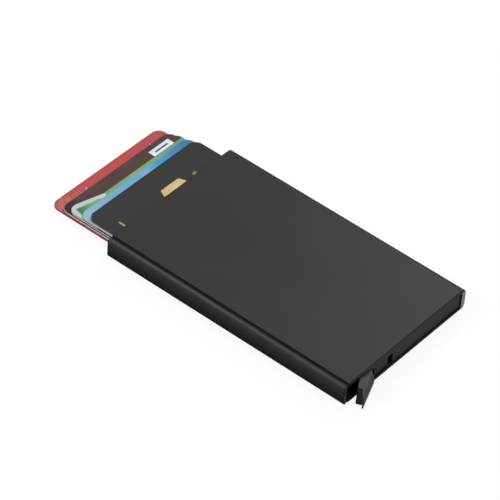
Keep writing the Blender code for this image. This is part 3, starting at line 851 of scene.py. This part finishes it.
def make_lever():
    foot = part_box("thumb_lever")[0].z
    scoop_low = lever_low + LIP_HEIGHT
    blade = add_block(
        "scooped_thumb_lever",
        from_pivot(-INNER_ROOT, -LEVER_REACH, lever_low),
        from_pivot(LIP_OFFSET, -LEVER_ROOT, lever_high),
    )
    choose(blade, "VERT", lambda vert: vert.co.x < pivot.x and vert.co.y < pivot.y - LEVER_REACH / 2)
    bpy.ops.transform.translate(value=(INNER_ROOT - INNER_TIP, 0, 0))
    choose(blade, "VERT", lambda vert: vert.co.z > hub_high and vert.co.y < pivot.y - LEVER_REACH / 2)
    bpy.ops.transform.translate(value=(0, TIP_LEAN, 0))
    scoop_out(blade, scoop_low, lever_high - RIDGE_HEIGHT)
    round_edges(blade, is_tip_corner, TIP_RADIUS, TIP_STEPS)
    round_edges(blade, is_tip_foot, TIP_FOOT_RADIUS, TIP_FOOT_STEPS)
    lip = add_block(
        "lip",
        from_pivot(LIP_INNER, -LEVER_REACH - LIP_OVERHANG, foot),
        from_pivot(LIP_OFFSET, -LEVER_ROOT, scoop_low),
    )
    round_edges(lip, is_lip_end, LIP_ROUND, LIP_STEPS)
    combine(blade, lip, "UNION")
    sweep = add_round("sweep", pivot, foot - PAST, lever_high + PAST, HUB_RADIUS + RUNNING_GAP)
    combine(blade, sweep, "DIFFERENCE")
    web = add_block(
        "web",
        from_pivot(-HUB_RADIUS, -WEB_LENGTH, hub_low),
        from_pivot(RIDGE_OFFSET, 0, hub_high),
    )
    combine(blade, web, "UNION")
    combine(blade, add_round("hub", pivot, hub_low, hub_high, HUB_RADIUS), "UNION")
    tongue = add_block(
        "tongue",
        from_pivot(tongue_end, -TONGUE_WIDTH / 2, hub_low),
        from_pivot(0, TONGUE_WIDTH / 2, hub_high),
    )
    combine(blade, tongue, "UNION")
    pin_hole = add_round("pin_hole", pivot, hub_low - PAST, hub_high + PAST, PIN_HOLE_RADIUS)
    combine(blade, pin_hole, "DIFFERENCE")
    drill_for_dowel(blade)
    mould_in_one(blade)
    swing_open(blade)
    # The lever's faces towards the near and the far side carry painted shade.
    lever_plastic = moulded(
        "black_lever_plastic", colour(67, 66, 67), colour(77, 76, 77), (0.34, 0.44),
        near_far_face_shade=colour(46, 45, 47),
    )
    dress(blade, "lever", lever_plastic, "lever", "thumb_lever")


make_lever()


# Ejector arm: a moulded bar behind the lever with one stair for each card, so that one swing
# throws the lowest card the furthest. It is held on the lever's tongue by the dowel.
FULL_SWING = math.radians(58)
ARM_OVERHANG = 2.9 * MM
ARM_EDGE = 0.15 * MM
CARD_NAMES = ("red_card", "brown_card", "green_card", "blue_card", "black_card")


def is_end_face(face, end, ceiling):
    """Whether a face lies in the arm's far end and below a height."""
    middle = face.calc_center_median()
    return face.normal.y > PARALLEL and middle.z < ceiling and abs(middle.y - end) < NEARLY


def make_arm():
    travels = [-joints[name + "_slide"]["range_m"][0] for name in CARD_NAMES]
    reaches = [travel / math.sin(FULL_SWING) for travel in travels]
    seams = []
    for lower, upper in zip(CARD_NAMES, CARD_NAMES[1:]):
        seams.append((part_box(lower)[1].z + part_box(upper)[0].z) / 2)
    arm = add_block(
        "stepped_arm",
        from_pivot(arm_front, -ARM_OVERHANG, lever_low),
        from_pivot(arm_front + ARM_DEPTH, reaches[-1], lever_high),
    )
    cut_level(arm, seams)
    for step in range(len(seams) - 1, -1, -1):
        choose(arm, "FACE", lambda face: is_end_face(face, pivot.y + reaches[step + 1], seams[step]))
        growth = (0, reaches[step] - reaches[step + 1], 0)
        bpy.ops.mesh.extrude_region_move(TRANSFORM_OT_translate={"value": growth})
        bpy.ops.object.mode_set(mode="OBJECT")
    side_gap = RUNNING_GAP / 2
    mortise = add_block(
        "mortise",
        from_pivot(tongue_end - RUNNING_GAP, -TONGUE_WIDTH / 2 - side_gap, hub_low - side_gap),
        from_pivot(arm_front + ARM_DEPTH + PAST, TONGUE_WIDTH / 2 + side_gap, hub_high + side_gap),
    )
    combine(arm, mortise, "DIFFERENCE")
    drill_for_dowel(arm)
    soften(arm, ARM_EDGE)
    swing_open(arm)
    arm_plastic = moulded("black_arm_plastic", colour(48, 48, 49), colour(56, 56, 57), (0.45, 0.55))
    dress(arm, "lever", arm_plastic, "arm", "ejector_arm")


make_arm()


# Cards: five standard bank cards of laminated plastic, die-cut after printing, so that their
# edges show the colour of the core. They lie loose between the felt strips, and slide.
CARD_CORNER = 3.18 * MM
CARD_CORNER_STEPS = 14
CARD_EDGE = 0.08 * MM
CARD_HALF_WIDTH = 26.99 * MM
SHEET_THICKNESS = 0.24 * MM
LAMINATE_SHINE = 0.05
LAMINATE_GLOSS = (0.28, 0.4)
LAMINATE_GRAIN = 0.35 * MM
LAMINATE_SMUDGES = 12 * MM
LAMINATE_BUMP = 0.003 * MM
PRINT_BLUR = 0.15 * MM
PRINTED_FACE = (0.5, 0.8)
FULL_WIDTH = 60


def make_patch_group():
    """A rectangle's mask: 1 inside half its length and width from the origin, 0 outside."""
    group, given, out = new_group(
        "patch",
        (("Point", "Vector"), ("Half length", "Float"), ("Half width", "Float"), ("Softness", "Float")),
        (("Mask", "Float"),),
    )
    parts = add(group, "SeparateXYZ", {"Vector": given.outputs["Point"]})
    masks = []
    for axis, half in (("X", "Half length"), ("Y", "Half width")):
        away = add_math(group, "ABSOLUTE", parts.outputs[axis])
        inside = add_math(group, "SUBTRACT", given.outputs[half], away)
        mask = add_math(group, "DIVIDE", inside, given.outputs["Softness"])
        masks.append(add(group, "Clamp", {"Value": mask}).outputs[0])
    feed(group, out.inputs["Mask"], add_math(group, "MULTIPLY", *masks))
    return group


PATCH = make_patch_group()


def from_card_edge(tree, point, edge):
    """A point with its X measured inwards from a card's outer edge."""
    return add(tree, "Mapping", {"Vector": point, "Location": (-edge, 0, 0)}).outputs[0]


def patch(tree, point, place, size, turn=0, softness=PRINT_BLUR):
    """The mask of a printed rectangle: its centre and size in millimetres, its turn in degrees.

    A place is measured from the card's outer edge and from its middle line.
    """
    moved = add(tree, "Mapping", {
        "Vector": point,
        "Location": (place[0] * MM, place[1] * MM, 0),
        "Rotation": (0, 0, math.radians(turn)),
    }, vector_type="TEXTURE")
    mask = place_group(tree, PATCH, {
        "Point": moved.outputs[0],
        "Half length": size[0] * MM / 2,
        "Half width": size[1] * MM / 2,
        "Softness": softness,
    })
    return mask.outputs["Mask"]


def print_marks(tree, point, face, *marks):
    """Prints rectangles over a face, one after another.

    Each mark is its ink, how much it covers what is below, and what patch() asks for.
    """
    for ink, cover, *shape in marks:
        mask = patch(tree, point, *shape)
        face = blend_colours(tree, add_math(tree, "MULTIPLY", mask, cover), face, ink)
    return face


def ramp(tree, value, *stops):
    """A colour that runs through stops, each a place from 0 to 1 and a colour."""
    made = add(tree, "ValToRGB", {"Fac": value})
    band = made.color_ramp
    band.elements[0].position, band.elements[0].color = stops[0]
    band.elements[1].position, band.elements[1].color = stops[-1]
    for place, tone in stops[1:-1]:
        band.elements.new(place).color = tone
    return made.outputs["Color"]


def across_card(tree, point, *inks):
    """A colour that runs across the card: each ink at its distance from the middle line in mm."""
    share = rising(tree, component(tree, point, "Y"), -CARD_HALF_WIDTH, CARD_HALF_WIDTH)
    stops = [((place * MM / CARD_HALF_WIDTH + 1) / 2, tone) for place, tone in inks]
    return ramp(tree, share, *stops)


def printed(node, core, sheet, paint):
    """A card's printed faces under laminate. Its edges show the core below the upper sheet."""
    made, tree, shader, point = start_material(node + "_print")
    grain = grain_at(tree, point, LAMINATE_GRAIN, LAMINATE_SMUDGES)
    low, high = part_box(node)
    in_sheet = add_math(tree, "GREATER_THAN", component(tree, point, "Z"), high.z - SHEET_THICKNESS)
    edge = blend_colours(tree, in_sheet, core, sheet)
    face = paint(tree, from_card_edge(tree, point, low.x))
    base = blend_colours(tree, facing(tree, "Z", PRINTED_FACE), edge, face)
    shader.inputs["Specular IOR Level"].default_value = LAMINATE_SHINE
    finish_surface(tree, shader, grain, base, LAMINATE_GLOSS, LAMINATE_BUMP)
    return made


def cut_card(node):
    """A card blank with its four round corners."""
    card = add_block(node + "_printed", *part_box(node))
    round_edges(card, along(2), CARD_CORNER, CARD_CORNER_STEPS)
    return card


def finish_card(card, node, core, sheet, paint):
    soften(card, CARD_EDGE, FINE_STEPS)
    dress(card, node + "_body", printed(node, core, sheet, paint), node, node)


# Red card: the lowest card of the stack. Gloss red print, with a small copper patch and a few
# pale hairlines at its near corner, and painted shade along its outer edge.
# Painted shade: a darker red band along the card's outer edge.
RED_EDGE_PAINTED_SHADE = colour(150, 76, 78)
PALE_HAIRLINE = colour(206, 140, 128)
PALE_STROKE = colour(206, 138, 132)
PALE_SPOT = colour(230, 190, 186)
COPPER = colour(200, 112, 76)
STROKE_PLACES = ((1.4, -23.8), (2.9, -24.9), (4.4, -26.0))
SPOT_PLACES = ((3.7, 18.7), (3.1, -12.7))


def paint_red(tree, point):
    face = across_card(
        tree, point,
        (-27, colour(172, 92, 92)), (-14, colour(181, 82, 84)),
        (2, colour(185, 79, 82)), (27, colour(174, 83, 86)),
    )
    return print_marks(
        tree, point, face,
        # Painted shade along the outer edge.
        (RED_EDGE_PAINTED_SHADE, 0.9, (0.3, 0), (0.6, FULL_WIDTH), 0, 0.3 * MM),
        *[(PALE_HAIRLINE, 0.6, (x, -16.0), (0.45, 6.4), 4, 0.3 * MM) for x in (2.3, 3.4)],
        *[(PALE_STROKE, 0.6, place, (0.7, 7.5), 32, 0.4 * MM) for place in STROKE_PLACES],
        (COPPER, 0.8, (2.3, -20.9), (2.4, 2.8), 18, 0.5 * MM),
        *[(PALE_SPOT, 0.8, place, (0.9, 0.9), 45, 0.3 * MM) for place in SPOT_PLACES],
    )


finish_card(cut_card("red_card"), "red_card", colour(186, 92, 120), colour(156, 70, 86), paint_red)


# Brown card: dark brown print with a faint warm mottle, nearly black at its near corner. Its
# core is white.
MOTTLE_SIZE = 4 * MM
BROWN_BLACK = colour(50, 52, 49)


def paint_brown(tree, point):
    mottle = add(tree, "TexNoise", {"Vector": point, "Scale": 1 / MOTTLE_SIZE, "Detail": 3.0})
    face = ramp(tree, mottle.outputs["Fac"], (0.3, colour(72, 62, 61)), (0.7, colour(89, 68, 66)))
    return print_marks(tree, point, face, (BROWN_BLACK, 1, (2.0, -24.5), (9, 9), 0, 3 * MM))


finish_card(cut_card("brown_card"), "brown_card", colour(242, 230, 230), colour(206, 182, 184), paint_brown)


# Green card: a dark brown end with a green band behind it, and a white wedge at the near
# corner. A white paper label with one straight blue rule is let into the dark end.
POCKET_GAP = 0.03 * MM
INLAY_EDGE = 0.03 * MM
DARK_END = 2.95
BAND_WIDTH = 9.0
INWARD_FADE = (3.0 * MM, 5.4 * MM)
DARK_BROWN = colour(83, 64, 63)
INNER_GREEN = colour(110, 166, 158)
WEDGE_WHITE = colour(190, 202, 197)
LABEL_WHITE = colour(226, 226, 232)
LABEL_BLUE = colour(52, 70, 150)
LABEL_GLOSS = (0.35, 0.5)
LABEL_GRAIN = 0.3 * MM
LABEL_SMUDGES = 4 * MM


def paint_green(tree, point):
    outer_green = across_card(
        tree, point,
        (-24, colour(64, 124, 98)), (-19, colour(128, 164, 116)), (-8, colour(122, 156, 98)),
        (2.5, colour(138, 162, 82)), (12, colour(112, 158, 92)), (24, colour(104, 150, 104)),
    )
    inward = rising(tree, component(tree, point, "X"), *INWARD_FADE)
    green = blend_colours(tree, inward, outer_green, INNER_GREEN)
    return print_marks(
        tree, point, DARK_BROWN,
        (green, 1, (DARK_END + BAND_WIDTH / 2, 0), (BAND_WIDTH, FULL_WIDTH)),
        (LABEL_WHITE, 1, (1.45, 18.0), (3.1, 10.0)),
        (WEDGE_WHITE, 1, (3.8, -20.75), (6, 16), -15.7),
        (WEDGE_WHITE, 1, (6.5, -26.6), (13, 1.4)),
        (outer_green, 1, (5.4, -20.6), (6, 10.4), -12, 0.6 * MM),
    )


def draw_in(block, middle, cuts):
    """Draws in the near and the far corner at a block's outer side."""
    for side, cut in zip((-1, 1), cuts):
        choose(block, "VERT", lambda vert: vert.co.x < middle.x and (vert.co.y - middle.y) * side > 0)
        bpy.ops.transform.translate(value=(0, -side * cut, 0))
        bpy.ops.object.mode_set(mode="OBJECT")


def let_in(card, node, body, finish, slot, cuts=(0, 0)):
    """Cuts a shallow pocket in a card for a thin inlay, and lays the inlay in it."""
    low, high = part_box(node)
    gap = Vector((POCKET_GAP, POCKET_GAP, POCKET_GAP))
    pocket = add_block("pocket", low - gap, high + Vector((POCKET_GAP, POCKET_GAP, PAST)))
    draw_in(pocket, (low + high) / 2, cuts)
    combine(card, pocket, "DIFFERENCE")
    inlay = add_block(node + "_inlay", low, high)
    draw_in(inlay, (low + high) / 2, cuts)
    soften(inlay, INLAY_EDGE, FINE_STEPS)
    dress(inlay, body, finish, slot, node)


def label_paper():
    """Coated white paper with one straight blue rule."""
    made, tree, shader, point = start_material("white_label_paper")
    grain = grain_at(tree, point, LABEL_GRAIN, LABEL_SMUDGES)
    card_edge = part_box("green_card")[0].x
    rule = (LABEL_BLUE, 1, (1.6, 18.0), (1.0, 6.6), 0, 0.3 * MM)
    base = print_marks(tree, from_card_edge(tree, point, card_edge), LABEL_WHITE, rule)
    shader.inputs["Specular IOR Level"].default_value = LAMINATE_SHINE
    finish_surface(tree, shader, grain, base, LABEL_GLOSS, LAMINATE_BUMP)
    return made


def make_green_card():
    card = cut_card("green_card")
    let_in(card, "white_label", "green_card_body", label_paper(), "white")
    finish_card(card, "green_card", colour(236, 230, 228), colour(44, 92, 76), paint_green)


make_green_card()


# Blue card: a print that runs from pale blue at the near side to a strong blue at the far one,
# over a white core.
PALE_GREEN = colour(110, 168, 150)


def paint_blue(tree, point):
    face = across_card(
        tree, point,
        (-25, colour(145, 183, 201)), (-13, colour(121, 169, 195)), (0, colour(110, 169, 203)),
        (5, colour(124, 167, 208)), (9, colour(84, 152, 196)), (25, colour(68, 119, 163)),
    )
    return print_marks(tree, point, face, (PALE_GREEN, 1, (0, -4), (1.6, 42), 0, 0.9 * MM))


finish_card(cut_card("blue_card"), "blue_card", colour(242, 245, 247), colour(214, 230, 240), paint_blue)


# Black card: satin black print over a dark red core, with two small plain gold bars printed on
# it. A longer bar of hot-stamped gold foil is let into it between them.
BAR_CUTS = (1.4 * MM, 1.0 * MM)
BLACK_PRINT = colour(57, 56, 57)
BLUE_BLACK = colour(38, 53, 61)
NEAR_BAR_GOLD = colour(176, 158, 116)
FAR_BAR_GOLD = colour(150, 136, 106)
FOIL_METAL = 0.3
FOIL_GLOSS = (0.38, 0.5)
FOIL_GRAIN = 0.5 * MM
FOIL_SMUDGES = 2.5 * MM
FOIL_BUMP = 0.004 * MM


def paint_black(tree, point):
    return print_marks(
        tree, point, BLACK_PRINT,
        (NEAR_BAR_GOLD, 1, (10.6, -21.6), (3.2, 1.0), 0, 0.3 * MM),
        (BLUE_BLACK, 1, (0.3, 0), (0.9, FULL_WIDTH), 0, 0.4 * MM),
        (FAR_BAR_GOLD, 0.8, (11.0, 13.9), (1.5, 2.2), 20, 0.5 * MM),
    )


def gold_foil():
    """Hot-stamped gold foil with a faint mottle."""
    made, tree, shader, point = start_material("gold_foil")
    grain = grain_at(tree, point, FOIL_GRAIN, FOIL_SMUDGES)
    tone = blend_colours(tree, grain.outputs["Smudge"], colour(196, 172, 122), colour(208, 186, 138))
    shader.inputs["Metallic"].default_value = FOIL_METAL
    shader.inputs["Specular IOR Level"].default_value = LAMINATE_SHINE
    finish_surface(tree, shader, grain, tone, FOIL_GLOSS, FOIL_BUMP)
    return made


def make_black_card():
    card = cut_card("black_card")
    let_in(card, "gold_bar", "black_card_body", gold_foil(), "gold", BAR_CUTS)
    finish_card(card, "black_card", colour(130, 56, 88), colour(84, 44, 60), paint_black)


make_black_card()


# Closing: back to object mode with nothing selected.
leave_all()
